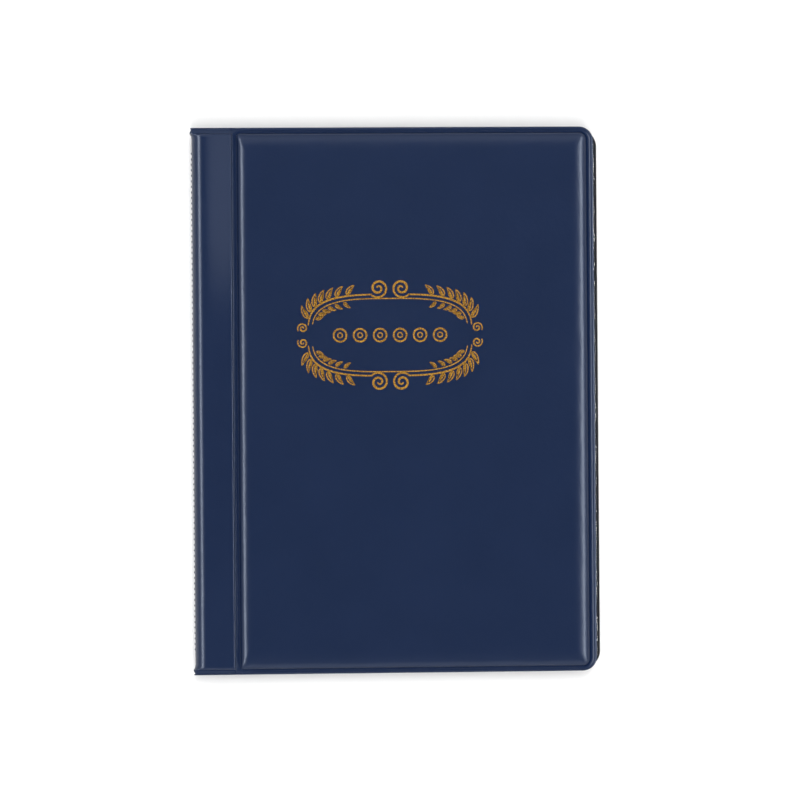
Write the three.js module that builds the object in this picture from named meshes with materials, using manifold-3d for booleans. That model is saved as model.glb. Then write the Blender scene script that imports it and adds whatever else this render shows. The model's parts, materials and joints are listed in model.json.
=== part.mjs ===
// Pocket coin album: a padded vinyl case, closed and lying on its back cover, with ten leaves of pockets.
// Millimetres. +X runs from the spine to the fore-edge, +Y from tail to head and +Z from the back cover to
// the front cover. The origin is under the middle of the album, on the surface that it lies on.
import * as THREE from "three";
import { mergeVertices } from "three/addons/utils/BufferGeometryUtils.js";
import Module from "manifold-3d";

const wasm = await Module();
wasm.setup();

// ---------- driving dimensions ----------
const coverWidth = 128; // spine wall to the fore-edge of the covers
const coverHeight = 175; // tail to head, over the welded rims
const seamWidth = 1.8; // welded rim round each padded panel
const cornerRadius = 5; // fore-edge corners of covers and leaves
const beadWidth = 0.8; // raised edge of the rim
const beadHeight = 0.3;

const skinThickness = 0.5; // outer vinyl
const liningThickness = 0.4; // inner vinyl
const boardThickness = 1.4; // greyboard in a cover
const foamThickness = 0.75; // padding over it
const stripBoardThickness = 1.2; // card in the binding strips and in the spine
const fit = 0.05; // between pieces packed against each other

const hingeX = 14; // middle of the hinge groove, from the spine wall
const webWidth = 2; // flat bottom of the groove
const hingeGap = 0.3; // between the vinyl of the binding and of a cover
const panelCrown = 1.9; // rounded shoulder of a cover's padded panel
const stripCrown = 0.6; // edge of a binding strip at the groove, head and tail
const spineRadius = 3; // soft shoulder from a binding strip into the spine wall
const spineRimRadius = 0.8; // the same shoulder on the welded rim at head and tail

const ribPitch = 1.77; // ribs across the spine wall
const ribDepth = 0.3;
const ribMargin = 6.5; // plain wall at head and tail

const leafCount = 10;
const sheetThickness = 0.3; // black backing of a leaf
const filmThickness = 0.15; // clear film over it
const pocketDepth = 0.25; // free height inside a pocket
const leafGap = 0.1; // between one leaf and the next
const coverToLeafGap = 0.3; // between a lining and the nearest leaf
const leafOverhang = 1.6; // leaves past the fore-edge of the covers
const leafHeadGap = 1; // covers past the leaves at head and at tail
const leafStart = 0.5; // from the middle of the hinge to a leaf, and to the welded margins on its other side

const pocketColumns = 3;
const pocketRows = 4;
const foreWeld = 1.6; // weld along the fore-edge
const pocketWeld = 1.6; // weld between two pockets
const endWeld = 4; // weld at head and tail
const marginWeld = 5; // weld beside the hinge
const slotHeight = 3; // open mouth at the head end of each pocket

const stapleCount = 3;
const stapleWire = 0.6;
const stapleWidth = 12;
const stapleFoot = 4.5; // each bent end
const staplePitch = 60;
const stapleClearance = 0.1;

const arcSteps = 5; // segments in a quarter turn

// ---------- levels and places that follow ----------
const boardToSkin = fit + boardThickness + fit + foamThickness + fit;
const coverThickness = liningThickness + boardToSkin + skinThickness;
const leafPitch = sheetThickness + pocketDepth + filmThickness + leafGap;
const stackThickness = leafCount * leafPitch - leafGap;
const albumThickness = 2 * (coverThickness + coverToLeafGap) + stackThickness;

const leafBottom = coverThickness + coverToLeafGap;
const leafTop = leafBottom + stackThickness;
const liningZ = albumThickness - coverThickness; // inner face of the front lining
const skinZ = liningZ + liningThickness; // where the skin is welded to the lining
const rimTop = skinZ + skinThickness;
const lowSkinZ = albumThickness - skinZ;
const stripTop = skinZ + 2 * fit + stripBoardThickness + skinThickness;

const halfHeight = coverHeight / 2;
const panelHalfHeight = halfHeight - seamWidth;
const panelLeft = hingeX + webWidth / 2;
const panelRight = coverWidth - seamWidth;
const stripRight = hingeX - webWidth / 2;
const bindingEnd = hingeX - hingeGap / 2;
const coverStart = hingeX + hingeGap / 2;
const leafLeft = hingeX + leafStart;
const leafRight = coverWidth + leafOverhang;
const leafHalfHeight = halfHeight - leafHeadGap;
const spineBoardX = skinThickness + fit;
const spineLiningX = spineBoardX + stripBoardThickness + fit;
const marginLeft = spineLiningX + liningThickness + fit;
const marginRight = hingeX - leafStart;

const finishes = {
  navy: { color: 0x1d2b4f, roughness: 0.45, metalness: 0 },
  lining: { color: 0x16213f, roughness: 0.5, metalness: 0 },
  card: { color: 0x8d8a82, roughness: 0.95, metalness: 0 },
  foam: { color: 0xd9d6cc, roughness: 0.95, metalness: 0 },
  blackVinyl: { color: 0x101113, roughness: 0.4, metalness: 0 },
  clearFilm: { color: 0xdfe6ea, roughness: 0.15, metalness: 0, transparent: true, opacity: 0.3 },
  steel: { color: 0xb4b7ba, roughness: 0.35, metalness: 1 },
};

// ---------- helpers ----------
const album = new THREE.Group();
const frontHalf = new THREE.Group();
const backHalf = new THREE.Group();
// The back half mirrors the front half about the middle of the album's thickness.
backHalf.scale.z = -1;
backHalf.position.z = albumThickness;
album.add(frontHalf, backHalf);

function addPiece(group, name, geometry, finish, z = 0) {
  const mesh = new THREE.Mesh(geometry, new THREE.MeshStandardMaterial(finishes[finish]));
  mesh.name = name;
  mesh.position.z = z;
  group.add(mesh);
}

// A rectangle with one radius at its spine-side corners and another at its fore-edge corners.
function roundedOutline({ left, right, halfY, leftRadius, rightRadius }) {
  const outline = new THREE.Shape();
  outline.moveTo(left + leftRadius, -halfY);
  outline.lineTo(right - rightRadius, -halfY);
  outline.absarc(right - rightRadius, -halfY + rightRadius, rightRadius, -Math.PI / 2, 0);
  outline.lineTo(right, halfY - rightRadius);
  outline.absarc(right - rightRadius, halfY - rightRadius, rightRadius, 0, Math.PI / 2);
  outline.lineTo(left + leftRadius, halfY);
  if (leftRadius > 0) {
    outline.absarc(left + leftRadius, halfY - leftRadius, leftRadius, Math.PI / 2, Math.PI);
    outline.lineTo(left, -halfY + leftRadius);
    outline.absarc(left + leftRadius, -halfY + leftRadius, leftRadius, Math.PI, 1.5 * Math.PI);
  }
  return outline;
}

// The same rectangle drawn smaller, with its radii shrinking to match.
function inset(rectangle, distance) {
  return {
    left: rectangle.left + distance,
    right: rectangle.right - distance,
    halfY: rectangle.halfY - distance,
    leftRadius: Math.max(rectangle.leftRadius - distance, 0.2),
    rightRadius: Math.max(rectangle.rightRadius - distance, 0.2),
  };
}

function slab(outline, bottom, top) {
  const options = { depth: top - bottom, bevelEnabled: false, curveSegments: arcSteps };
  return new THREE.ExtrudeGeometry(outline, options).translate(0, 0, bottom);
}

function box(x0, x1, y0, y1, z0, z1) {
  const geometry = new THREE.BoxGeometry(x1 - x0, y1 - y0, z1 - z0);
  return geometry.translate((x0 + x1) / 2, (y0 + y1) / 2, (z0 + z1) / 2);
}

function toSolid(geometry) {
  const bare = geometry.clone();
  bare.deleteAttribute("normal");
  bare.deleteAttribute("uv");
  const merged = mergeVertices(bare, 1e-4);
  const vertProperties = merged.attributes.position.array;
  const triVerts = new Uint32Array(merged.index.array);
  return new wasm.Manifold(new wasm.Mesh({ numProp: 3, vertProperties, triVerts }));
}

function toGeometry(solid) {
  const mesh = solid.getMesh();
  const geometry = new THREE.BufferGeometry();
  geometry.setAttribute("position", new THREE.BufferAttribute(mesh.vertProperties, 3));
  geometry.setIndex(new THREE.BufferAttribute(mesh.triVerts, 1));
  geometry.computeVertexNormals();
  return geometry;
}

function boxSolid(...sides) {
  return toSolid(box(...sides));
}

// A flat pad whose top edge is rounded over all round. The rounding under its bottom is left to be cut away.
function pad(rectangle, bottom, top, crown) {
  const options = {
    depth: top - crown - bottom,
    bevelSize: crown,
    bevelThickness: crown,
    bevelSegments: 4,
    curveSegments: arcSteps,
  };
  const outline = roundedOutline(inset(rectangle, crown));
  return new THREE.ExtrudeGeometry(outline, options).translate(0, 0, bottom);
}

// ---------- a cover: skin, foam, board and lining ----------
const coverEdge = {
  left: coverStart,
  right: coverWidth,
  halfY: halfHeight,
  leftRadius: 0,
  rightRadius: cornerRadius,
};
const coverPanel = {
  left: panelLeft,
  right: panelRight,
  halfY: panelHalfHeight,
  leftRadius: 2,
  rightRadius: cornerRadius - seamWidth,
};

function coverBead() {
  const insideEdge = { ...inset(coverEdge, beadWidth), left: 0, leftRadius: 0 };
  const band = toSolid(slab(roundedOutline(coverEdge), skinZ, rimTop + beadHeight));
  return band.subtract(toSolid(slab(roundedOutline(insideEdge), skinZ - 1, albumThickness)));
}

function coverSkin() {
  const padded = pad(coverPanel, skinZ, albumThickness, panelCrown);
  const roomTop = albumThickness - skinThickness;
  const room = pad(inset(coverPanel, skinThickness), skinZ, roomTop, panelCrown - skinThickness);
  const aboveLining = boxSolid(0, coverWidth, -halfHeight, halfHeight, skinZ, albumThickness);
  const rim = toSolid(slab(roundedOutline(coverEdge), skinZ, rimTop));
  const panel = toSolid(padded).intersect(aboveLining);
  return toGeometry(rim.add(coverBead()).add(panel).subtract(toSolid(room)));
}

// Board and foam stop where the skin's shoulder starts to round over.
function coverLayer(bottom, thickness) {
  return slab(roundedOutline(inset(coverPanel, panelCrown)), bottom, bottom + thickness);
}

const boardZ = skinZ + fit;
const foamZ = boardZ + boardThickness + fit;

for (const [half, name] of [[frontHalf, "front"], [backHalf, "back"]]) {
  addPiece(half, `${name}_cover_skin`, coverSkin(), "navy");
  addPiece(half, `${name}_cover_foam`, coverLayer(foamZ, foamThickness), "foam");
  addPiece(half, `${name}_cover_board`, coverLayer(boardZ, boardThickness), "card");
  addPiece(half, `${name}_cover_lining`, slab(roundedOutline(coverEdge), liningZ, skinZ - fit), "lining");
}

// ---------- the binding: skin with two strips and a ribbed spine wall, lining and cards ----------
const lowStrip = albumThickness - stripTop;
const stripEnd = panelHalfHeight - skinThickness;

// A cross-section at right angles to the spine, closed on the groove side and rounded on the spine side.
function spineOutline(left, right, low, high, radius) {
  const outline = new THREE.Shape();
  outline.moveTo(right, low);
  outline.lineTo(right, high);
  outline.lineTo(left + radius, high);
  outline.absarc(left + radius, high - radius, radius, Math.PI / 2, Math.PI);
  outline.lineTo(left, low + radius);
  outline.absarc(left + radius, low + radius, radius, Math.PI, 1.5 * Math.PI);
  return outline;
}

function alongSpine(outline, halfLength) {
  const options = { depth: 2 * halfLength, bevelEnabled: false, curveSegments: arcSteps };
  const geometry = new THREE.ExtrudeGeometry(outline, options);
  return toSolid(geometry.rotateX(Math.PI / 2).translate(0, halfLength, 0));
}

function spineRibs() {
  const count = Math.floor((coverHeight - 2 * ribMargin) / ribPitch);
  const rootX = skinThickness / 2;
  const outline = new THREE.Shape();
  outline.moveTo(rootX, (-count * ribPitch) / 2);
  for (let rib = 0; rib < count; rib++) {
    const y = (rib - count / 2) * ribPitch;
    outline.lineTo(0, y + 0.1 * ribPitch);
    outline.lineTo(-ribDepth, y + 0.35 * ribPitch);
    outline.lineTo(-ribDepth, y + 0.65 * ribPitch);
    outline.lineTo(0, y + 0.9 * ribPitch);
  }
  outline.lineTo(rootX, (count * ribPitch) / 2);
  return toSolid(slab(outline, lowStrip + spineRadius, stripTop - spineRadius));
}

// Both strips and the wall between them, with the strips' edges at the groove, head and tail rounded over.
function raisedSpine() {
  const plan = {
    left: -coverWidth,
    right: stripRight,
    halfY: panelHalfHeight,
    leftRadius: stripCrown,
    rightRadius: 2 * stripCrown,
  };
  const edges = pad(plan, lowStrip + stripCrown, stripTop, stripCrown);
  const section = spineOutline(0, stripRight, lowStrip, stripTop, spineRadius);
  return alongSpine(section, panelHalfHeight).intersect(toSolid(edges));
}

function spineSkin() {
  const rim = spineOutline(0, bindingEnd, albumThickness - rimTop, rimTop, spineRimRadius);
  const outside = alongSpine(rim, halfHeight).add(raisedSpine());
  const roomSection = spineOutline(
    skinThickness,
    stripRight - skinThickness,
    lowStrip + skinThickness,
    stripTop - skinThickness,
    spineRadius - skinThickness,
  );
  const cardRoom = alongSpine(roomSection, stripEnd);
  const liningRoom = boxSolid(skinThickness, coverWidth, -coverHeight, coverHeight, lowSkinZ, skinZ);
  return toGeometry(outside.subtract(cardRoom).subtract(liningRoom).add(spineRibs()));
}

function spineLining() {
  const bottom = lowSkinZ + fit;
  const top = skinZ - fit;
  const outside = boxSolid(spineLiningX, bindingEnd, -halfHeight, halfHeight, bottom, top);
  const roomX = spineLiningX + liningThickness;
  const room = boxSolid(roomX, coverWidth, -coverHeight, coverHeight, coverThickness, liningZ);
  return toGeometry(outside.subtract(room));
}

const cardEnd = stripEnd - fit;

function stripBoard() {
  const right = stripRight - skinThickness - fit;
  const bottom = skinZ + fit;
  return box(spineRadius, right, -cardEnd, cardEnd, bottom, bottom + stripBoardThickness);
}

function spineBoard() {
  const right = spineBoardX + stripBoardThickness;
  return box(spineBoardX, right, -cardEnd, cardEnd, lowStrip + spineRadius, stripTop - spineRadius);
}

addPiece(album, "spine_skin", spineSkin(), "navy");
addPiece(album, "spine_lining", spineLining(), "lining");
addPiece(album, "spine_board", spineBoard(), "card");
addPiece(frontHalf, "front_strip_board", stripBoard(), "card");
addPiece(backHalf, "back_strip_board", stripBoard(), "card");

// ---------- the welded margins of the leaves, and the staples through them ----------
const stapleX = (marginLeft + marginRight) / 2;

// A staple closed round the margins, grown on every side by the clearance it is given.
function staple(middleY, grow) {
  const wire = stapleWire / 2 + grow;
  const arm = stapleWidth / 2;
  const x0 = stapleX - wire;
  const x1 = stapleX + wire;
  const low = leafBottom - grow;
  const high = leafTop + grow;
  const crownLow = leafTop - stapleWire - grow;
  const footHigh = leafBottom + stapleWire + grow;
  const outerY = arm + grow;
  const innerY = arm - stapleWire - grow;
  const footEnd = arm - stapleFoot - grow;
  let solid = boxSolid(x0, x1, middleY - outerY, middleY + outerY, crownLow, high);
  for (const side of [-1, 1]) {
    const [legFrom, legTo] = [side * innerY, side * outerY].sort((a, b) => a - b);
    const [footFrom, footTo] = [side * footEnd, side * outerY].sort((a, b) => a - b);
    solid = solid.add(boxSolid(x0, x1, middleY + legFrom, middleY + legTo, low, high));
    solid = solid.add(boxSolid(x0, x1, middleY + footFrom, middleY + footTo, low, footHigh));
  }
  return solid;
}

function marginBlock(middles) {
  let block = boxSolid(marginLeft, marginRight, -leafHalfHeight, leafHalfHeight, leafBottom, leafTop);
  for (const middleY of middles) {
    block = block.subtract(staple(middleY, stapleClearance));
  }
  return toGeometry(block);
}

const stapleMiddles = [];
for (let index = 0; index < stapleCount; index++) {
  stapleMiddles.push(((stapleCount - 1) / 2 - index) * staplePitch);
}
addPiece(album, "leaf_margins", marginBlock(stapleMiddles), "blackVinyl");
stapleMiddles.forEach((middleY, index) => {
  addPiece(album, `staple_${index + 1}`, toGeometry(staple(middleY, 0)), "steel");
});

// ---------- leaves: a black sheet, and a clear film welded to it in pockets ----------
const leafEdge = roundedOutline({
  left: leafLeft,
  right: leafRight,
  halfY: leafHalfHeight,
  leftRadius: 0,
  rightRadius: cornerRadius,
});

function pocketFilm() {
  const gridLeft = leafLeft + marginWeld;
  const gridWidth = leafRight - foreWeld - gridLeft;
  const gridHeight = 2 * (leafHalfHeight - endWeld);
  const pocketWidth = (gridWidth - (pocketColumns - 1) * pocketWeld) / pocketColumns;
  const pocketHeight = (gridHeight - (pocketRows - 1) * pocketWeld) / pocketRows;
  const high = pocketDepth + filmThickness;
  let film = toSolid(slab(leafEdge, 0, filmThickness));
  for (let column = 0; column < pocketColumns; column++) {
    for (let row = 0; row < pocketRows; row++) {
      const x0 = gridLeft + column * (pocketWidth + pocketWeld);
      const y0 = -gridHeight / 2 + row * (pocketHeight + pocketWeld);
      const roomX0 = x0 + filmThickness;
      const roomX1 = x0 + pocketWidth - filmThickness;
      const roomY0 = y0 + filmThickness;
      const roomY1 = y0 + pocketHeight - filmThickness;
      film = film.add(boxSolid(x0, x0 + pocketWidth, y0, y0 + pocketHeight, 0, high));
      film = film.subtract(boxSolid(roomX0, roomX1, roomY0, roomY1, -1, pocketDepth));
      film = film.subtract(boxSolid(roomX0, roomX1, roomY1 - slotHeight, roomY1, 0, 2 * high));
    }
  }
  return toGeometry(film);
}

const sheetGeometry = slab(leafEdge, 0, sheetThickness);
const filmGeometry = pocketFilm();
for (let number = 1; number <= leafCount; number++) {
  const name = `leaf_${String(number).padStart(2, "0")}`;
  const z = leafBottom + (leafCount - number) * leafPitch;
  addPiece(album, `${name}_sheet`, sheetGeometry, "blackVinyl", z);
  addPiece(album, `${name}_pockets`, filmGeometry, "clearFilm", z + sheetThickness);
}

album.position.x = (ribDepth - leafRight) / 2;
export default album;
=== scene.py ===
import json
import math

import bpy
import numpy as np
from mathutils import Matrix, Vector, noise


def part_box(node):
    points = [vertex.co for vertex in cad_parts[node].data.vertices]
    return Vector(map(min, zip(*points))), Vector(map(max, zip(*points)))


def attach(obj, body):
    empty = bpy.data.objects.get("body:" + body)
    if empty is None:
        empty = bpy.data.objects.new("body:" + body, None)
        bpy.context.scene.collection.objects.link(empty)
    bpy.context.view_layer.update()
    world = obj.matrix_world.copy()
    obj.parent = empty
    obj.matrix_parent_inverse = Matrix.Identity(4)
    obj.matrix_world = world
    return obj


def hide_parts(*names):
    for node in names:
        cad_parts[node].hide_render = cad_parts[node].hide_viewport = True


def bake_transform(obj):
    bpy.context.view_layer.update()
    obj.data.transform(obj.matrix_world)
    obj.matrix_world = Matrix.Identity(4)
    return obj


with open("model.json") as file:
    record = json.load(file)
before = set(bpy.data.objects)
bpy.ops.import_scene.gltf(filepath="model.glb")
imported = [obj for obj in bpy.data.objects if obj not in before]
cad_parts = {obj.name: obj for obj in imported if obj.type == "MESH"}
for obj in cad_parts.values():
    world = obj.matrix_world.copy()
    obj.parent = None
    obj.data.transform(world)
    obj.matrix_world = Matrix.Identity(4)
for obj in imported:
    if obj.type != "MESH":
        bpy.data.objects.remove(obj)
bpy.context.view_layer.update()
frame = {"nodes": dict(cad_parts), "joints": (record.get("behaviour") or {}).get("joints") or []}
MM = 0.001

# ---------- places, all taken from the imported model, in metres ----------
skin_low, skin_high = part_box("front_cover_skin")
spine_low, spine_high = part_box("spine_skin")
lining_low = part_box("front_cover_lining")[0]
sheet_low, sheet_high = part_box("leaf_01_sheet")
margin_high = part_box("leaf_margins")[1]
hinge = next(j for j in frame["joints"] if j["name"] == "front_cover_hinge")

TOP = skin_high[2]
BASE = skin_low[2]  # where the skin is welded to the lining
HINGE_X = hinge["pos_m"][0]
HALF_Y = skin_high[1]
COVER_REACH = 1.0 * MM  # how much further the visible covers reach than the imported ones
FORE_X = skin_high[0] + COVER_REACH
RIB_DEPTH = 0.3 * MM
WALL_X = spine_low[0] + RIB_DEPTH
STRIP_TOP = spine_high[2]
LEAF_PITCH = sheet_low[2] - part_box("leaf_02_sheet")[0][2]

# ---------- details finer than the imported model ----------
FORE_SEAM = 2.25 * MM  # widths of the welded rim round a panel
HEAD_SEAM = 1.8 * MM
TAIL_SEAM = 1.6 * MM
CORNER = 4.6 * MM  # radius of a cover's outer corners
WEB_HALF = 1 * MM  # half the width of the hinge web
RIM = 0.5 * MM  # rim over the base
VINYL = 0.4 * MM  # thickness of the outer skin
SHOULDER = 5.8 * MM  # width over which a padded panel rounds over
HINGE_SHOULDER = 0.7  # share of that width on the side next to the hinge
SHOULDER_POWER = 2.3  # 2 is an ellipse, more is squarer
SPINE_RADIUS = 3.9 * MM
FILM_THICKNESS = 0.1 * MM
PILLOW_HEIGHT = 0.24 * MM  # how far a pocket's film stands off its weld
LEAF_COUNT = 10
FLEX = 12 * MM  # width of the leaf that bends when it is turned
SHARP = math.radians(55)  # an edge that turns more than this stays crisp


# ---------- mesh helpers ----------
def mesh_object(name, points, faces, material, smooth=True):
    mesh = bpy.data.meshes.new(name)
    mesh.from_pydata([tuple(p) for p in points], [], faces)
    mesh.materials.append(material)
    if smooth:
        mesh.shade_smooth()
        mesh.set_sharp_from_angle(angle=SHARP)
    obj = bpy.data.objects.new(name, mesh)
    bpy.context.scene.collection.objects.link(obj)
    return obj


def with_modifiers_applied(obj):
    graph = bpy.context.evaluated_depsgraph_get()
    final = bpy.data.meshes.new_from_object(obj.evaluated_get(graph))
    obj.modifiers.clear()
    obj.data = final
    final.set_sharp_from_angle(angle=SHARP)
    return obj


def thicken(obj, thickness, offset=-1):
    """Turns a sheet into a closed skin. Offset -1 grows it against its normals."""
    modifier = obj.modifiers.new("thickness", "SOLIDIFY")
    modifier.thickness = thickness
    modifier.offset = offset
    return with_modifiers_applied(obj)


def grid_faces(rows, columns, keep=lambda row, column: True):
    return [
        (r * columns + c, r * columns + c + 1, (r + 1) * columns + c + 1, (r + 1) * columns + c)
        for r in range(rows - 1)
        for c in range(columns - 1)
        if keep(r, c)
    ]


def smoothstep(value):
    t = min(max(value, 0.0), 1.0)
    return t * t * (3 - 2 * t)


def rounded_rise(share):
    """Height of a padded edge, from 0 at its foot to 1 where it is flat, at this share of its width."""
    inward = 1 - min(max(share, 0.0), 1.0)
    return (1 - inward**SHOULDER_POWER) ** (1 / SHOULDER_POWER)


def rim_height(share):
    """Height of the welded rim over its flat, at this share of its width from outside.

    First comes a bead, then a groove.
    """
    bead = 0.6
    if share < bead:
        return 0.25 * MM * math.sin(math.pi * share / bead)
    return -0.16 * MM * math.sin(math.pi / 2 * (share - bead) / (1 - bead))


def fore_rim_height(share):
    """The same along the fore-edge, where a second, smaller bead runs beside the groove."""
    bead, second_bead = 0.58, 0.84
    if share < bead:
        return 0.22 * MM * math.sin(math.pi * share / bead)
    if share < second_bead:
        return 0.045 * MM * math.sin(math.pi * (share - bead) / (second_bead - bead))
    return -0.16 * MM * math.sin(math.pi / 2 * (share - second_bead) / (1 - second_bead))


def rim_shares():
    return [step / 24 for step in range(25)]


def ripple(point, size, seed):
    """Smooth noise from -1 to 1, in bumps of about this size."""
    return noise.noise(Vector(point) / size + Vector((seed, 0.0, 0.0)))


# ---------- materials ----------
def new_material(name):
    material = bpy.data.materials.new(name)
    material.use_nodes = True
    nodes, links = material.node_tree.nodes, material.node_tree.links
    return material, nodes, links, nodes["Principled BSDF"]


def object_noise(nodes, links, scale, detail=3.0):
    coordinates = nodes.new("ShaderNodeTexCoord")
    texture = nodes.new("ShaderNodeTexNoise")
    texture.inputs["Scale"].default_value = scale
    texture.inputs["Detail"].default_value = detail
    links.new(coordinates.outputs["Object"], texture.inputs["Vector"])
    return texture.outputs["Fac"]


def colour_between(nodes, links, factor, dark, light, low=0.3, high=0.7):
    ramp = nodes.new("ShaderNodeValToRGB")
    ramp.color_ramp.elements[0].position = low
    ramp.color_ramp.elements[0].color = (*dark, 1)
    ramp.color_ramp.elements[1].position = high
    ramp.color_ramp.elements[1].color = (*light, 1)
    links.new(factor, ramp.inputs["Fac"])
    return ramp.outputs["Color"]


def roughness_between(nodes, links, factor, low, high):
    spread = nodes.new("ShaderNodeMapRange")
    spread.inputs["To Min"].default_value = low
    spread.inputs["To Max"].default_value = high
    links.new(factor, spread.inputs["Value"])
    return spread.outputs["Result"]


def add_bump(nodes, links, shader, heights):
    """heights holds (height output, depth in metres) pairs, laid over each other."""
    below = None
    for height, depth in heights:
        bump = nodes.new("ShaderNodeBump")
        bump.inputs["Strength"].default_value = 1.0
        bump.inputs["Distance"].default_value = depth
        links.new(height, bump.inputs["Height"])
        if below is not None:
            links.new(below, bump.inputs["Normal"])
        below = bump.outputs["Normal"]
    links.new(below, shader.inputs["Normal"])


def fade(nodes, links, value, start, end, top):
    """Rises smoothly from 0 at start to top at end."""
    rise = nodes.new("ShaderNodeMapRange")
    rise.interpolation_type = "SMOOTHSTEP"
    rise.inputs["From Min"].default_value = start
    rise.inputs["From Max"].default_value = end
    rise.inputs["To Max"].default_value = top
    links.new(value, rise.inputs["Value"])
    return rise.outputs["Result"]


def scuffed(nodes, links, roughness, across, along, extra):
    """Adds extra to the roughness past both ranges, which are (start, end) across and along the album."""
    coordinates = nodes.new("ShaderNodeTexCoord")
    split = nodes.new("ShaderNodeSeparateXYZ")
    links.new(coordinates.outputs["Object"], split.inputs["Vector"])
    total = nodes.new("ShaderNodeMath")
    total.operation = "MULTIPLY_ADD"
    links.new(fade(nodes, links, split.outputs["X"], *across, 1.0), total.inputs[0])
    links.new(fade(nodes, links, split.outputs["Y"], *along, extra), total.inputs[1])
    links.new(roughness, total.inputs[2])
    return total.outputs["Value"]


def grained_vinyl(name, dark, light, roughness, grain_depth, dent_depth, scuff=None):
    material, nodes, links, shader = new_material(name)
    patches = object_noise(nodes, links, 60)
    grain = object_noise(nodes, links, 3200, 5)
    dents = object_noise(nodes, links, 1300, 2)
    creases = object_noise(nodes, links, 420, 1)
    links.new(colour_between(nodes, links, patches, dark, light), shader.inputs["Base Color"])
    matt = roughness_between(nodes, links, grain, *roughness)
    if scuff:
        matt = scuffed(nodes, links, matt, *scuff)
    links.new(matt, shader.inputs["Roughness"])
    shader.inputs["Specular Tint"].default_value = (0.78, 0.87, 1, 1)
    add_bump(nodes, links, shader, [(creases, 1.4 * dent_depth), (dents, dent_depth), (grain, grain_depth)])
    return material


def clear_film():
    material, nodes, links, shader = new_material("clear_film")
    haze = object_noise(nodes, links, 90)
    waves = object_noise(nodes, links, 240, 2)
    shader.inputs["Base Color"].default_value = (0.93, 0.95, 0.97, 1)
    shader.inputs["Transmission Weight"].default_value = 1.0
    shader.inputs["IOR"].default_value = 1.46
    links.new(roughness_between(nodes, links, haze, 0.05, 0.16), shader.inputs["Roughness"])
    add_bump(nodes, links, shader, [(waves, 0.04 * MM)])
    return material


def gold_foil():
    material, nodes, links, shader = new_material("gold_foil")
    specks = object_noise(nodes, links, 2600, 4)
    wear = object_noise(nodes, links, 420)
    colour = colour_between(nodes, links, specks, (0.2, 0.085, 0.008), (0.52, 0.27, 0.03), 0.38, 0.6)
    links.new(colour, shader.inputs["Base Color"])
    shader.inputs["Metallic"].default_value = 0.45
    links.new(roughness_between(nodes, links, wear, 0.32, 0.5), shader.inputs["Roughness"])
    add_bump(nodes, links, shader, [(specks, 0.02 * MM)])
    return material


def fibrous(name, dark, light, scale, depth):
    material, nodes, links, shader = new_material(name)
    fibres = object_noise(nodes, links, scale, 6)
    links.new(colour_between(nodes, links, fibres, dark, light), shader.inputs["Base Color"])
    shader.inputs["Roughness"].default_value = 0.95
    add_bump(nodes, links, shader, [(fibres, depth)])
    return material


def drawn_wire():
    material, nodes, links, shader = new_material("staple_wire")
    scratches = object_noise(nodes, links, 4000, 2)
    links.new(
        colour_between(nodes, links, scratches, (0.35, 0.36, 0.38), (0.6, 0.61, 0.63)),
        shader.inputs["Base Color"],
    )
    shader.inputs["Metallic"].default_value = 1.0
    links.new(roughness_between(nodes, links, scratches, 0.25, 0.45), shader.inputs["Roughness"])
    return material


def welded_margins():
    """Black vinyl with the edges of the ten leaves showing as lines across its ends."""
    material, nodes, links, shader = new_material("welded_margins")
    coordinates = nodes.new("ShaderNodeTexCoord")
    layers = nodes.new("ShaderNodeTexWave")
    layers.bands_direction = "Z"
    bands_per_metre = 3.2  # that the texture draws at scale 1
    layers.inputs["Scale"].default_value = 1 / (bands_per_metre * LEAF_PITCH)
    layers.inputs["Distortion"].default_value = 0.4
    links.new(coordinates.outputs["Object"], layers.inputs["Vector"])
    colour = colour_between(nodes, links, layers.outputs["Fac"], (0.004, 0.004, 0.005), (0.03, 0.03, 0.034))
    links.new(colour, shader.inputs["Base Color"])
    shader.inputs["Roughness"].default_value = 0.42
    add_bump(nodes, links, shader, [(layers.outputs["Fac"], 0.2 * MM)])
    return material


NAVY_LOOK = ((0.0030, 0.0108, 0.0405), (0.0040, 0.0124, 0.0445), (0.26, 0.35), 0.008 * MM, 0.022 * MM)
NAVY = grained_vinyl("navy_vinyl", *NAVY_LOOK)
# the strip beside the hinge is duller towards the head
SPINE_NAVY = grained_vinyl("spine_vinyl", *NAVY_LOOK, scuff=((-61 * MM, -57 * MM), (22 * MM, 60 * MM), 0.3))
LINING = grained_vinyl(
    "lining_vinyl", (0.009, 0.017, 0.045), (0.012, 0.022, 0.055), (0.45, 0.6), 0.015 * MM, 0.01 * MM
)
BLACK = grained_vinyl(
    "black_vinyl", (0.004, 0.004, 0.005), (0.008, 0.008, 0.009), (0.3, 0.42), 0.008 * MM, 0.012 * MM
)
FILM = clear_film()
GOLD = gold_foil()
CARD = fibrous("greyboard", (0.2, 0.18, 0.15), (0.34, 0.31, 0.27), 900, 0.05 * MM)
FOAM = fibrous("foam", (0.6, 0.58, 0.52), (0.75, 0.73, 0.66), 2500, 0.08 * MM)
WIRE = drawn_wire()
MARGINS = welded_margins()


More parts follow.
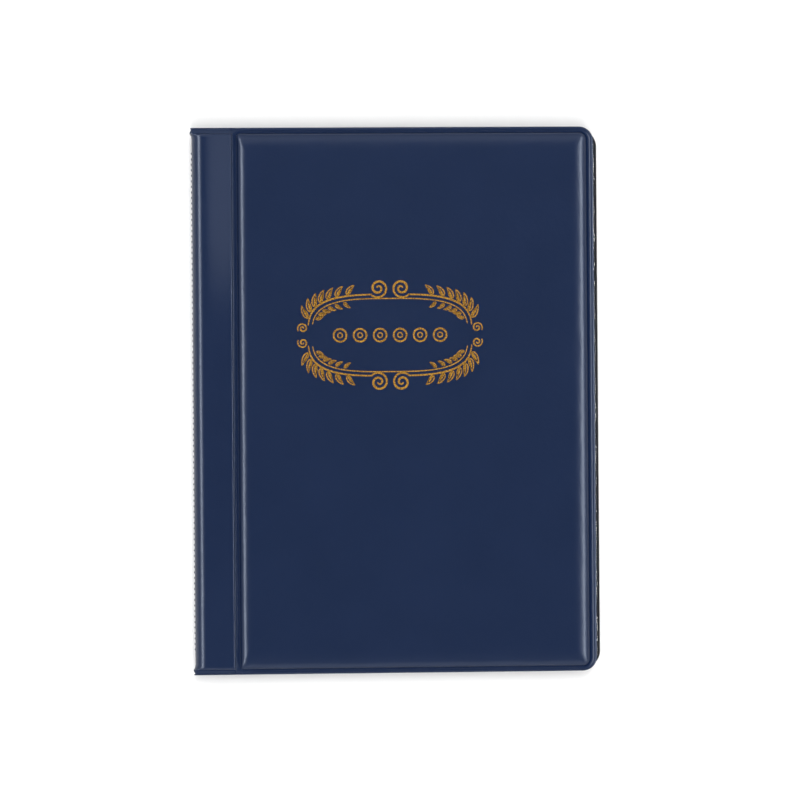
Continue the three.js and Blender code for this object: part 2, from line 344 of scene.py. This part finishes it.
# ---------- padded covers ----------
def rounded_ring(left, right, tail, head, left_radius, right_radius):
    """Points round a rounded rectangle, anticlockwise from the tail corner at the hinge."""
    arc_steps, long_steps, short_steps = 10, 80, 50
    corners = [
        (left + left_radius, tail + left_radius, left_radius, math.pi),
        (right - right_radius, tail + right_radius, right_radius, 1.5 * math.pi),
        (right - right_radius, head - right_radius, right_radius, 0.0),
        (left + left_radius, head - left_radius, left_radius, 0.5 * math.pi),
    ]
    arcs = [
        [
            (x + radius * math.cos(start + a * math.pi / 2 / arc_steps),
             y + radius * math.sin(start + a * math.pi / 2 / arc_steps))
            for a in range(arc_steps + 1)
        ]
        for x, y, radius, start in corners
    ]
    ring = []
    for index, arc in enumerate(arcs):
        ring += arc
        first, last = Vector(arc[-1]), Vector(arcs[(index + 1) % 4][0])
        steps = short_steps if index % 2 == 0 else long_steps
        ring += [tuple(first.lerp(last, step / steps)) for step in range(1, steps)]
    return ring


def cover_ring(rim, pad):
    """One ring of the cover in plan: in over the rim by this share, then over the panel by this much."""
    hinge_lip = 0.12 * MM
    over_web = 0.5 * MM  # how far the cover laps over the hinge web
    panel_radius = 1.6 * MM
    left = HINGE_X + WEB_HALF - over_web - hinge_lip * (1 - rim) + pad * HINGE_SHOULDER
    left_radius = 0.1 * MM + panel_radius * smoothstep((rim * HEAD_SEAM + pad) / (2 * HEAD_SEAM))
    fore, head, tail = (rim * seam + pad for seam in (FORE_SEAM, HEAD_SEAM, TAIL_SEAM))
    right_radius = max(CORNER - fore, panel_radius)
    return rounded_ring(left, FORE_X - fore, -HALF_Y + tail, HALF_Y - head, left_radius, right_radius)


def cover_points(seed):
    """Rings from the folded-in flange over the rim and up the padded shoulder to the flat of the panel."""
    groove = rim_height(1.0)
    pad_height = TOP - BASE - RIM - groove
    steps = [(share, 0.0, RIM, 0.0) for share in rim_shares()]
    for step in range(1, 15):
        share = 1 - math.cos(math.pi / 2 * step / 14) ** (2 / SHOULDER_POWER)
        height = RIM + groove + pad_height * rounded_rise(share)
        steps.append((1.0, share * SHOULDER, height, 4 * share * (1 - share)))
    flange = 0.62  # share of the rim's width that is folded in underneath
    lip_drop = 0.1 * RIM  # the rim is this much lower beside the hinge
    rings = [[(x, y, BASE) for x, y in cover_ring(share, 0.0)] for share in (flange, 0.0)]
    for rim, pad, height, unevenness in steps:
        ring = []
        for x, y in cover_ring(rim, pad):
            z = BASE + height
            if pad == 0:
                at_fore_edge = smoothstep((x - FORE_X + 7 * MM) / (4 * MM))
                bead = rim_height(rim) + (fore_rim_height(rim) - rim_height(rim)) * at_fore_edge
                past_hinge = smoothstep((x - HINGE_X - WEB_HALF) / (2 * MM))
                z += (bead + lip_drop) * past_hinge - lip_drop
            z += unevenness * 0.06 * MM * ripple((x, y, 0), 3.5 * MM, seed)
            z += unevenness * 0.05 * MM * ripple((x, y, 0), 11 * MM, seed + 7)
            ring.append((x, y, z))
        rings.append(ring)
    return rings


def padded_cover(name, seed):
    rings = cover_points(seed)
    count = len(rings[0])
    points = [point for ring in rings for point in ring]
    faces = []
    for r in range(len(rings) - 1):
        for i in range(count):
            j = (i + 1) % count
            faces.append((r * count + i, r * count + j, (r + 1) * count + j, (r + 1) * count + i))
    last = (len(rings) - 1) * count
    faces.append(tuple(range(last, last + count)))
    return thicken(mesh_object(name, points, faces, NAVY), VINYL)


def turn_to_back(obj):
    """Turns a front piece over and mirrors it, so that it lies under the album with its hinge in place."""
    middle = Matrix.Translation((0, 0, TOP / 2))
    obj.data.transform(middle @ Matrix.Rotation(math.pi, 4, "Y") @ middle.inverted())
    obj.data.transform(Matrix.Scale(-1, 4, (1, 0, 0)))
    obj.data.flip_normals()
    return obj


for side, seed in (("front", 1.0), ("back", 31.0)):
    cover = padded_cover(f"{side}_cover_vinyl", seed)
    if side == "back":
        turn_to_back(cover)
    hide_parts(f"{side}_cover_skin")
    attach(cover, f"{side}_cover")


# ---------- spine: two strips and the wall in one skin, with ribs on the wall ----------
def spine_half_section():
    """(raised, on the rim) pairs of (x, z), from the hinge over the strip to the middle of the wall."""
    edge_x = HINGE_X - WEB_HALF
    rim_z = BASE + RIM
    crisp = 0.65 * MM
    lip = 0.15 * MM
    rim_radius = 0.8 * MM
    flare = 0.35 * MM
    pairs = [((edge_x + lip, rim_z - 0.05 * MM), (edge_x + lip, rim_z - 0.05 * MM))]
    pairs.append(((edge_x, rim_z), (edge_x, rim_z)))
    for step in range(7):
        angle = math.pi / 2 * step / 6
        x = edge_x - crisp + crisp * math.cos(angle)
        z = STRIP_TOP - crisp + crisp * math.sin(angle)
        pairs.append(((x, z), (x, rim_z)))
    flat_start, flat_end = edge_x - crisp, WALL_X + SPINE_RADIUS
    for step in range(1, 12):
        share = step / 12
        x = flat_start + (flat_end - flat_start) * share
        pairs.append(((x, STRIP_TOP - 0.12 * MM * math.sin(math.pi * share) ** 2), (x, rim_z)))
    for step in range(15):
        share = step / 14
        angle = math.pi / 2 * share
        x = flat_end - SPINE_RADIUS * math.sin(angle)
        z = STRIP_TOP - SPINE_RADIUS + SPINE_RADIUS * math.cos(angle)
        if share < 0.5:
            low_x = flat_end + (WALL_X - flare + rim_radius - flat_end) * share * 2
            low_z = rim_z
        else:
            turn = math.pi * (share - 0.5)
            low_x = WALL_X - flare + rim_radius * (1 - math.sin(turn))
            low_z = rim_z - rim_radius * (1 - math.cos(turn))
        pairs.append(((x, z), (low_x, low_z)))
    for step in range(1, 4):
        share = step / 3
        wall_top, rim_top = STRIP_TOP - SPINE_RADIUS, rim_z - rim_radius
        z = wall_top + (TOP / 2 - wall_top) * share
        low_z = rim_top + (TOP / 2 - rim_top) * share
        pairs.append(((WALL_X, z), (WALL_X - flare, low_z)))
    return pairs


def mirrored_section(half):
    flipped = [tuple((x, TOP - z) for x, z in pair) for pair in reversed(half[:-1])]
    return half + flipped


def outward(section):
    """Unit normals of a line of (x, z) points, pointing away from the leaves."""
    line = np.array(section)
    along = np.gradient(line, axis=0)
    normals = np.stack([along[:, 1], -along[:, 0]], axis=1)
    return normals / np.maximum(np.linalg.norm(normals, axis=1, keepdims=True), 1e-9)


def spine_stations():
    """(y, how far the strips are raised, rim height) from tail to head."""
    strip_shoulder = 1.7 * MM

    def end_stations(seam):
        ends = [(seam * share, 0.0, rim_height(share)) for share in rim_shares()]
        for step in range(1, 11):
            share = 1 - math.cos(math.pi / 2 * step / 10) ** (2 / SHOULDER_POWER)
            ends.append((seam + share * strip_shoulder, rounded_rise(share), rim_height(1.0) * (1 - share)))
        return ends

    tail = [(-HALF_Y + d, raised, rim) for d, raised, rim in end_stations(TAIL_SEAM)]
    head = [(HALF_Y - d, raised, rim) for d, raised, rim in reversed(end_stations(HEAD_SEAM))]
    middle = [(y, 1.0, 0.0) for y in np.linspace(tail[-1][0], head[0][0], 62)[1:-1]]
    return tail + middle + head


def spine_vinyl():
    section = mirrored_section(spine_half_section())
    high = np.array([pair[0] for pair in section])
    low = np.array([pair[1] for pair in section])
    normals = -outward(low)
    points = []
    for y, raised, rim in spine_stations():
        line = low + (high - low) * raised + normals * rim
        for x, z in line:
            swell = raised * 0.05 * MM * ripple((x, y, z), 12 * MM, 3)
            points.append((x, y, z + (swell if z > TOP / 2 else -swell)))
    rows, columns = len(spine_stations()), len(section)
    obj = thicken(mesh_object("spine_vinyl", points, grid_faces(rows, columns), SPINE_NAVY), VINYL, 1)
    for vertex in obj.data.vertices:  # the ends are trimmed flush with the covers
        vertex.co.y = min(max(vertex.co.y, -HALF_Y), HALF_Y)
    return obj


def rib(y):
    """A half-round bar across the wall, with rounded ends, sunk a little into the vinyl."""
    half_width, reach, sunk = 0.42 * MM, 0.34 * MM, 0.12 * MM
    low, high = TOP - STRIP_TOP + SPINE_RADIUS, STRIP_TOP - SPINE_RADIUS
    rows, columns = 11, 9
    points = []
    for row in range(rows):
        angle = math.pi * row / (rows - 1)
        z = (low + high) / 2 - (high - low) / 2 * math.cos(angle)
        size = max(math.sin(angle), 0.02) ** 0.35
        for column in range(columns):
            turn = math.pi * column / (columns - 1)
            x = WALL_X + sunk - (reach + sunk) * size * math.sin(turn)
            points.append((x, y + half_width * size * math.cos(turn), z))
    faces = grid_faces(rows, columns)
    for row in range(rows - 1):
        start, above = row * columns, (row + 1) * columns
        faces.append((start, above, above + columns - 1, above - 1))
    faces.append(tuple(range(columns)))
    faces.append(tuple(reversed(range((rows - 1) * columns, rows * columns))))
    return points, faces


def spine_ribs():
    pitch, margin = 1.77 * MM, 6.5 * MM
    count = int((2 * HALF_Y - 2 * margin) / pitch)
    points, faces = [], []
    for index in range(count):
        new_points, new_faces = rib((index - (count - 1) / 2) * pitch)
        faces += [tuple(i + len(points) for i in face) for face in new_faces]
        points += new_points
    return mesh_object("spine_ribs", points, faces, NAVY)


spine = spine_vinyl()
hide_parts("spine_skin")
ribs = spine_ribs()
for piece in (spine, ribs):
    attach(piece, "binding")


# ---------- hinge webs ----------
def web_end(sign, seam):
    """(y, seam, rim height) over one end of a web, where the rim runs on and dies out in the groove."""
    rows = []
    for share in rim_shares():
        left_of_rim = 1 - smoothstep(2.5 * share - 1.5)
        rows.append((sign * (HALF_Y - seam * share), seam, rim_height(share) * left_of_rim))
    past_rim = 0.6 * MM
    rows.append((sign * (HALF_Y - seam - past_rim), seam, 0.0))
    return rows


def hinge_web(name):
    """The thin vinyl in the groove, with a faint ridge along it, and the strip of lining behind it."""
    overlap = 0.06 * MM
    columns = 33
    xs = np.linspace(HINGE_X - WEB_HALF - overlap, HINGE_X + WEB_HALF + overlap, columns)
    tail, head = web_end(-1, TAIL_SEAM), web_end(1, HEAD_SEAM)
    between = [(y, HEAD_SEAM, 0.0) for y in np.linspace(tail[-1][0], head[-1][0], 12)[1:-1]]
    rows = tail + between + head[::-1]
    points = []
    for y, seam, rim in rows:
        in_groove = smoothstep((HALF_Y - abs(y)) / seam - 0.5)
        ridge_height = 0.01 * MM + 0.06 * MM * smoothstep(0.5 - y / HALF_Y)
        for x in xs:
            across = (x - HINGE_X) / WEB_HALF
            ridge = ridge_height * math.exp(-(((across + 0.5) / 0.22) ** 2))
            sag = 0.22 * MM * max(1 - across**2, 0) - ridge
            points.append((x, y, BASE + RIM - 0.04 * MM - in_groove * sag + rim))
    outer = thicken(mesh_object(name, points, grid_faces(len(rows), columns), NAVY), 0.25 * MM)
    lining_gap = 0.25 * MM
    inner_xs = np.linspace(HINGE_X - lining_gap, HINGE_X + lining_gap, columns)
    inner_z = lining_low[2] - 0.02 * MM
    inner_points = [(x, y, inner_z) for y in (-HALF_Y, 0.0, HALF_Y) for x in inner_xs]
    inner = mesh_object(f"{name}_lining", inner_points, grid_faces(3, columns), LINING)
    return outer, thicken(inner, 0.1 * MM, 0)


def bend_across(obj):
    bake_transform(obj)


for side, parent in (("front", "leaf_01"), ("back", "binding")):
    for piece, slot in zip(hinge_web(f"{side}_hinge_web"), ("navy_vinyl", "lining_vinyl")):
        if side == "back":
            turn_to_back(piece)
        bend_across(piece)


# ---------- leaves ----------
LEAF_START = margin_high[0]
LEAF_END = sheet_high[0]
LEAF_HALF_Y = sheet_high[1]
COLUMNS, ROWS = 3, 4
BLACK_EDGE = 0.75 * MM  # strip of the backing left bare outside the film
FORE_BEAD = 0.8 * MM  # width of the bead that the weld leaves along the film's fore-edge
POCKET_WELD = 1.6 * MM
MARGIN_WELD = 6 * MM
END_WELD = 4 * MM
MOUTH = 2.6 * MM
LEAF_CORNER = 5.2 * MM
PILLOW = 1.3 * MM  # width over which a pocket's film rises from its weld


def round_corner(x, y, right):
    """Moves a point of a square-cornered leaf so that its fore-edge corners are round."""
    u = (x - (right - LEAF_CORNER)) / LEAF_CORNER
    v = (abs(y) - (LEAF_HALF_Y - LEAF_CORNER)) / LEAF_CORNER
    if u <= 0 or v <= 0:
        return x, y
    x = right - LEAF_CORNER + LEAF_CORNER * u * math.sqrt(1 - v * v / 2)
    return x, math.copysign(LEAF_HALF_Y - LEAF_CORNER + LEAF_CORNER * v * math.sqrt(1 - u * u / 2), y)


def pocket_spans(low, high, count):
    size = (high - low - (count - 1) * POCKET_WELD) / count
    return [(low + i * (size + POCKET_WELD), low + i * (size + POCKET_WELD) + size) for i in range(count)]


def merged(values):
    """Sorted values, without those that nearly repeat the one before."""
    kept = []
    for value in sorted(values):
        if not kept or value - kept[-1] > 0.02 * MM:
            kept.append(value)
    return kept


def pillow_lines(spans):
    lines = []
    for low, high in spans:
        for step in range(5):
            lines += [low + PILLOW * step / 4, high - PILLOW * step / 4]
        lines += list(np.linspace(low, high, 6))
    return lines


def film_height(x, y, column_spans, row_spans):
    """How far the film stands off its welds. A pocket has welds on three sides and is open at the head."""
    for x0, x1 in column_spans:
        for y0, y1 in row_spans:
            if x0 < x < x1 and y0 < y < y1:
                across = rounded_rise(min(x - x0, x1 - x) / PILLOW)
                along = rounded_rise((y - y0) / PILLOW)
                return PILLOW_HEIGHT * across * along
    return 0.0


def weld_bead(x, y, right, seed):
    """The bead is squashed here and there, so it glints unevenly."""
    share = (right - x) / FORE_BEAD
    if share >= 1 or share < 0:
        return 0.0
    long_waves = ripple((0, y, 0), 7 * MM, seed + 3)
    short_waves = ripple((0, y, 0), 1.7 * MM, seed)
    squash = smoothstep(0.55 + 1.6 * long_waves + 1.3 * short_waves)
    return (0.06 + 0.15 * squash) * MM * math.sin(math.pi * share)


def leaf_film(name, z, right, seed):
    column_spans = pocket_spans(LEAF_START + MARGIN_WELD, right - POCKET_WELD, COLUMNS)
    row_spans = pocket_spans(-LEAF_HALF_Y + END_WELD, LEAF_HALF_Y - END_WELD, ROWS)
    flex = list(np.linspace(LEAF_START, LEAF_START + FLEX, 25))
    corner = [LEAF_CORNER * step / 6 for step in range(7)]
    bead = [right - FORE_BEAD * step / 8 for step in range(9)]
    xs = merged(flex + pillow_lines(column_spans) + [right - c for c in corner] + bead)
    mouths = [value for _, y1 in row_spans for value in (y1 - MOUTH, y1)]
    edges = [sign * (LEAF_HALF_Y - c) for c in corner for sign in (-1, 1)]
    bead_step = 0.9 * MM  # fine enough for the squashed stretches of the bead
    along = list(np.arange(-LEAF_HALF_Y + LEAF_CORNER, LEAF_HALF_Y - LEAF_CORNER, bead_step))
    ys = merged(pillow_lines(row_spans) + mouths + edges + along)

    def in_a_mouth(x, y):
        in_column = any(x0 < x < x1 for x0, x1 in column_spans)
        return in_column and any(y1 - MOUTH < y < y1 for _, y1 in row_spans)

    def covered(row, column):
        return not in_a_mouth((xs[column] + xs[column + 1]) / 2, (ys[row] + ys[row + 1]) / 2)

    points = []
    for y in ys:
        for x in xs:
            height = film_height(x, y, column_spans, row_spans)
            height += 0.03 * MM * ripple((x, y, 0), 9 * MM, seed) * (1 if height > 0 else 0)
            height += weld_bead(x, y, right, seed)
            px, py = round_corner(x, y, right)
            points.append((px, py, z + height))
    faces = grid_faces(len(ys), len(xs), covered)
    return thicken(mesh_object(name, points, faces, FILM), FILM_THICKNESS, 1)


def leaf_backing(name, z, right):
    corner = [LEAF_CORNER * step / 6 for step in range(7)]
    xs = merged(list(np.linspace(LEAF_START, LEAF_START + FLEX, 25)) + [right - c for c in corner])
    ys = merged([sign * (LEAF_HALF_Y - c) for c in corner for sign in (-1, 1)] + [0.0])
    points = [(*round_corner(x, y, right), z) for y in ys for x in xs]
    thickness = sheet_high[2] - sheet_low[2]
    backing = mesh_object(name, points, grid_faces(len(ys), len(xs)), BLACK)
    return thicken(backing, thickness - 0.02 * MM)


for number in range(1, LEAF_COUNT + 1):
    leaf = f"leaf_{number:02d}"
    parent = "binding" if number == LEAF_COUNT else f"leaf_{number + 1:02d}"
    sheet_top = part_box(f"{leaf}_sheet")[1][2]
    stray = 0.42 * MM + 0.2 * MM * math.sin(number * 2.4)  # no two leaves are cut to quite the same width
    backing = leaf_backing(f"{leaf}_backing", sheet_top - 0.01 * MM, LEAF_END + stray)
    film = leaf_film(f"{leaf}_film", sheet_top, LEAF_END + stray - BLACK_EDGE, number * 5.0)
    for piece, node, slot in ((backing, "sheet", "black_vinyl"), (film, "pockets", "clear_film")):
        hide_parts(f"{leaf}_{node}")
        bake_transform(piece)


# ---------- gold stamp: a leafy wreath round a row of plain coin rings ----------
STAMP_X = -1.5 * MM  # the wreath's middle
STAMP_Y = 20.8 * MM
STAMP_LINE = 0.5 * MM
FOIL = 0.05 * MM


def ribbon(line, widths):
    """A flat band of foil along a line of (x, y) points in millimetres, as wide as widths says at each."""
    path = np.array(line) * MM
    along = np.gradient(path, axis=0)
    along /= np.maximum(np.linalg.norm(along, axis=1, keepdims=True), 1e-12)
    across = np.stack([-along[:, 1], along[:, 0]], axis=1) * np.array(widths)[:, None] / 2
    points, faces = [], []
    for z in (TOP - 0.02 * MM, TOP + FOIL):
        for centre, side in zip(path, across):
            points += [(*(centre + side), z), (*(centre - side), z)]
    count = len(path)
    over = 2 * count
    for i in range(count - 1):
        a, b, c, d = 2 * i, 2 * i + 1, 2 * i + 3, 2 * i + 2
        faces += [(a, d, c, b), (over + a, over + b, over + c, over + d)]
        faces += [(a, over + a, over + d, d), (b, c, over + c, over + b)]
    faces += [(0, 1, over + 1, over), (over - 2, 2 * over - 2, 2 * over - 1, over - 1)]
    return points, faces


def tapered(count, width, start, end):
    """Widths that swell from start of the full width to all of it, and back to end of it."""
    shares = np.linspace(0, 1, count)
    swell = np.sin(np.pi * shares) ** 0.6
    ends = start + (end - start) * shares
    return width * (ends + (1 - ends) * swell)


def spiral(middle_x, middle_y, inner, outer, start, turns):
    steps = int(40 * abs(turns)) + 2
    radii = np.linspace(inner, outer, steps)
    angles = np.linspace(start, start + 2 * math.pi * turns, steps)
    return [(middle_x + r * math.cos(a), middle_y + r * math.sin(a)) for r, a in zip(radii, angles)]


def bezier(p0, p1, p2, p3, steps):
    p0, p1, p2, p3 = (np.array(p, float) for p in (p0, p1, p2, p3))
    return [
        tuple((1 - t) ** 3 * p0 + 3 * (1 - t) ** 2 * t * p1 + 3 * (1 - t) * t * t * p2 + t**3 * p3)
        for t in np.linspace(0, 1, steps)
    ]


def plaque(turn, inset=0.0):
    """A point of the wreath's rounded outline, at this angle round it."""
    squareness = 2 / 3.3
    x = (26.2 - inset) * abs(math.cos(turn)) ** squareness
    y = (13.0 - inset) * abs(math.sin(turn)) ** squareness
    return np.array((x, y))


def plaque_line(start, end, inset):
    return [tuple(plaque(turn, inset)) for turn in np.linspace(start, end, 60)]


def leaf_strokes(root, heading, length, plump, width):
    """The outline of a curled leaf and its vein, from its root in this direction."""
    along = np.array((math.cos(heading), math.sin(heading)))
    across = np.array((-along[1], along[0]))
    tip = root + along * length + across * plump * 0.5
    left = bezier(root, root + across * plump, root + along * length * 0.55 + across * plump * 1.3, tip, 18)
    belly = root + along * length * 0.3 - across * plump * 0.6
    right = bezier(root, belly, tip - along * length * 0.35, tip, 18)
    vein = bezier(root, root + along * length * 0.3 + across * plump * 0.2,
                  root + along * length * 0.5 + across * plump * 0.35, root + (tip - root) * 0.75, 12)
    return [(left, width, 0.8, 0.6), (right, width, 0.8, 0.6), (vein, width * 1.9, 0.3, 0.2)]


def quadrant_strokes():
    """The strokes of one quarter of the wreath, in millimetres from its middle."""
    line = STAMP_LINE
    strokes = [
        (plaque_line(0.1, 1.487, 0.0), 1.2 * line, 0.5, 0.8),
        (plaque_line(0.14, math.pi / 2, 1.3), 0.75 * line, 0.6, 1.0),
        (spiral(3.7, 15.0, 0.3, 3.1, 0.2, 1.85), 1.4 * line, 0.5, 0.7),
        (spiral(27.9, 2.3, 0.2, 1.7, 3.2, -1.6), 1.0 * line, 0.5, 0.7),
    ]
    for index in range(7):
        turn = 0.24 + 0.165 * index
        root = plaque(turn, -0.4)
        ahead = plaque(turn + 0.03) - plaque(turn)
        heading = math.atan2(ahead[1], ahead[0])
        strokes += leaf_strokes(root, heading - 0.62, 4.5 - 0.12 * index, -1.35, 0.8 * line)
        if index < 6:
            root = plaque(turn + 0.06, 1.8)
            strokes += leaf_strokes(root, heading + 0.75, 2.7, 0.85, 0.65 * line)
    return [(path, tapered(len(path), width, start, end)) for path, width, start, end in strokes]


def coin_rings():
    strokes = []
    ring_radius, pitch, count = 2.05, 6.4, 6
    for index in range(count):
        x = (index - (count - 1) / 2) * pitch
        for radius, width in ((ring_radius, 1.1 * STAMP_LINE), (0.75, 0.8 * STAMP_LINE)):
            path = spiral(x, 0.0, radius, radius, 0.0, 1.0)
            strokes.append((path, [width] * len(path)))
    return strokes


def gold_stamp():
    strokes = coin_rings()
    for path, widths in quadrant_strokes():
        for flip_x in (-1, 1):
            for flip_y in (-1, 1):
                mirrored = [(x * flip_x, y * flip_y) for x, y in path]
                strokes.append((mirrored, widths))
    points, faces = [], []
    for path, widths in strokes:
        new_points, new_faces = ribbon(path, widths)
        faces += [tuple(i + len(points) for i in face) for face in new_faces]
        points += [(x + STAMP_X, y + STAMP_Y, z) for x, y, z in new_points]
    obj = mesh_object("title_stamp", points, faces, GOLD, smooth=False)
    modifier = obj.modifiers.new("weld", "WELD")
    modifier.merge_threshold = 1e-6
    return with_modifiers_applied(obj)


stamp = gold_stamp()
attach(stamp, "front_cover")

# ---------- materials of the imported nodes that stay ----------
KEPT = {"lining": LINING, "board": CARD, "foam": FOAM, "staple": WIRE, "leaf_margins": MARGINS}
for name, node in frame["nodes"].items():
    for word, material in KEPT.items():
        if word in name:
            for material_slot in node.material_slots:
                material_slot.material = material


# ---------- floor, light and camera ----------
def floor():
    half = 4.0  # metres
    corners = [(-half, -half, 0), (half, -half, 0), (half, half, 0), (-half, half, 0)]
    material, nodes, links, shader = new_material("white_floor")
    shader.inputs["Base Color"].default_value = (0.9, 0.9, 0.9, 1)
    shader.inputs["Roughness"].default_value = 0.9
    shader.inputs["Specular IOR Level"].default_value = 0.1
    return mesh_object("floor", corners, [(0, 1, 2, 3)], material)


floor()


def area_light(name, place, level_side, rising_side, power):
    """A panel that faces the album, in metres and watts. Its level side lies flat, the other one leans."""
    data = bpy.data.lights.new(name, "AREA")
    data.shape = "RECTANGLE"
    data.size, data.size_y = level_side, rising_side
    data.energy = power
    light = bpy.data.objects.new(name, data)
    light.location = place
    light.rotation_euler = (-Vector(place)).to_track_quat("-Z", "Y").to_euler()
    bpy.context.scene.collection.objects.link(light)
    return light


def matt_only(light):
    """For a fill that brightens surfaces and isn't seen in their gloss."""
    light.visible_glossy = False
    light.visible_transmission = False


def gloss_only(light):
    """For a panel that is seen in the gloss and doesn't brighten the matt part of a surface."""
    light.visible_diffuse = False


for sign, side in ((1, "right"), (-1, "left")):
    matt_only(area_light(f"{side}_fill", (sign * 1.6, 0, 1.8), 1.0, 1.0, 5.5))
    gloss_only(area_light(f"{side}_strip", (sign * 0.85, 0, 0.85), 1.4, 0.19, 13))
matt_only(area_light("head_fill", (0, 0.55, 2.2), 0.6, 0.7, 25))
matt_only(area_light("tail_fill", (0, -0.7, 2.2), 0.6, 1.0, 25))
gloss_only(area_light("head_glow", (0, 0.85, 0.85), 1.4, 0.8, 2.7))
gloss_only(area_light("tail_glow", (0, -1.05, 0.6), 1.4, 0.45, 2.0))


def studio_world():
    """A pale horizon, dim walls above it, and dark overhead, where the camera stands."""
    world = bpy.data.worlds.new("studio")
    world.use_nodes = True
    nodes, links = world.node_tree.nodes, world.node_tree.links
    coordinates = nodes.new("ShaderNodeTexCoord")
    split = nodes.new("ShaderNodeSeparateXYZ")
    links.new(coordinates.outputs["Generated"], split.inputs["Vector"])
    ramp = nodes.new("ShaderNodeValToRGB")
    stops = ramp.color_ramp.elements
    for position, shade in ((0.0, 0.85), (0.12, 0.8), (0.3, 0.42), (0.8, 0.38), (0.975, 0.02)):
        stop = stops[0] if position == 0.0 else stops.new(position)
        stop.position = position
        stop.color = (shade, shade, shade, 1)
    stops.remove(stops[-1])  # the white stop that a new ramp comes with
    links.new(split.outputs["Z"], ramp.inputs["Fac"])
    links.new(ramp.outputs["Color"], nodes["Background"].inputs["Color"])
    return world


bpy.context.scene.world = studio_world()
bpy.context.scene.view_settings.view_transform = "Standard"

VIEW_WIDTH = 255.8 * MM  # seen across the picture, at the front cover
DISTANCE = 750 * MM
TILT = math.radians(2.0)  # the camera stands a little to the spine side
ROLL = math.radians(0.45)
AIM = Vector((1.5 * MM, 0.0, TOP))

camera_data = bpy.data.cameras.new("camera")
camera_data.sensor_width = 36
camera_data.lens = camera_data.sensor_width * DISTANCE / VIEW_WIDTH
camera = bpy.data.objects.new("camera", camera_data)
backward = Vector((-math.sin(TILT), 0, math.cos(TILT)))
upward = Vector((math.sin(ROLL), math.cos(ROLL), 0))
sideways = upward.cross(backward).normalized()
upward = backward.cross(sideways)
axes = Matrix((sideways, upward, backward)).transposed().to_4x4()
camera.matrix_world = Matrix.Translation(AIM + backward * DISTANCE) @ axes
bpy.context.scene.collection.objects.link(camera)
bpy.context.scene.camera = camera
